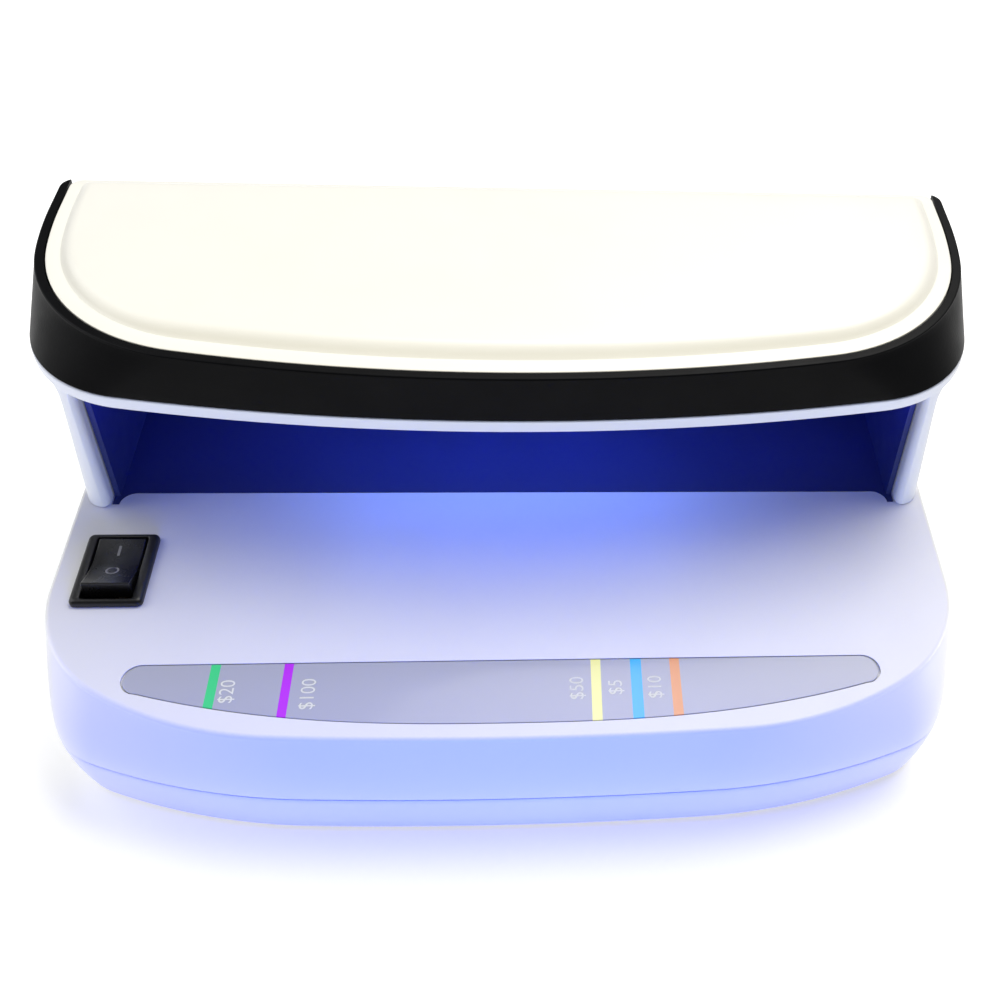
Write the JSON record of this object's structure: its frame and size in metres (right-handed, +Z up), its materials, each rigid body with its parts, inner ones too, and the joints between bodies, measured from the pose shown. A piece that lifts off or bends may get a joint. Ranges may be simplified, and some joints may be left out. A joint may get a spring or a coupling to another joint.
{
  "type": "counterfeit bill detector",
  "caption": "Desktop banknote checker: a D-shaped base with a guide strip and rocker switch, and a violet lamp head held over a dark viewing chamber.",
  "frame": {"origin": "centre of the bounding box at the bottom of the feet", "axes": "+X to the object's right seen from the front (the longest side), +Y to the rear, +Z up (the shortest side)"},
  "size_m": [0.2074, 0.135, 0.0809],
  "materials": {
    "base_top_shell": "satin white",
    "base_bottom_shell": "satin white",
    "stand_frame": "satin white",
    "top_cover": "satin white",
    "head_band": "satin black",
    "chamber_liner": "matte near-black",
    "guide_label": "printed film",
    "switch_housing": "satin black",
    "switch_rocker": "satin black",
    "switch_plunger": "nylon",
    "contact_brass": "stamped",
    "lamp_window": "clear violet",
    "lamp_reflector": "bright",
    "lamp_board": "circuit board",
    "lamp_diode": "lit violet-blue",
    "driver_board": "circuit board",
    "power_inlet": "satin black",
    "inlet_pin": "nickel plated",
    "screw_steel": "zinc plated",
    "foot_rubber": "matte",
    "switch_wire": "insulated wire",
    "inlet_wire": "insulated wire",
    "lamp_wire": "insulated wire"
  },
  "bodies": {
    "housing": {"base_bottom_shell": "base_bottom_shell", "base_screw_1": "screw_steel", "base_screw_2": "screw_steel", "base_screw_3": "screw_steel", "base_screw_4": "screw_steel", "base_top_shell": "base_top_shell", "chamber_liner": "chamber_liner", "driver_board": "driver_board", "foot_1": "foot_rubber", "foot_2": "foot_rubber", "foot_3": "foot_rubber", "foot_4": "foot_rubber", "guide_label": "guide_label", "head_band": "head_band", "head_screw_1": "screw_steel", "head_screw_2": "screw_steel", "head_screw_3": "screw_steel", "head_screw_4": "screw_steel", "inlet_pin": "inlet_pin", "inlet_wire": "inlet_wire", "lamp_board": "lamp_board", "lamp_diode_1": "lamp_diode", "lamp_diode_2": "lamp_diode", "lamp_diode_3": "lamp_diode", "lamp_diode_4": "lamp_diode", "lamp_diode_5": "lamp_diode", "lamp_diode_6": "lamp_diode", "lamp_reflector": "lamp_reflector", "lamp_window": "lamp_window", "lamp_wire": "lamp_wire", "power_inlet": "power_inlet", "stand_frame": "stand_frame", "stand_screw_1": "screw_steel", "stand_screw_2": "screw_steel", "switch_housing": "switch_housing", "switch_wire": "switch_wire", "terminal_common": "contact_brass", "terminal_load": "contact_brass", "top_cover": "top_cover"},
    "rocker": {"switch_rocker": "switch_rocker", "switch_plunger": "switch_plunger"},
    "contact": {"contact_arm": "contact_brass"}
  },
  "joints": [
    {"name": "switch_hinge", "type": "hinge", "parent": "housing", "child": "rocker", "pos_m": [-0.0844, -0.0198, 0.031], "axis": [1, 0, 0], "range_deg": [0, 20]},
    {"name": "contact_seesaw", "type": "hinge", "parent": "housing", "child": "contact", "pos_m": [-0.0844, -0.0198, 0.0226], "axis": [1, 0, 0], "range_deg": [-20, 0]}
  ],
  "couplings": [
    {"joint": "contact_seesaw", "follows": "switch_hinge", "ratio": -1}
  ]
}
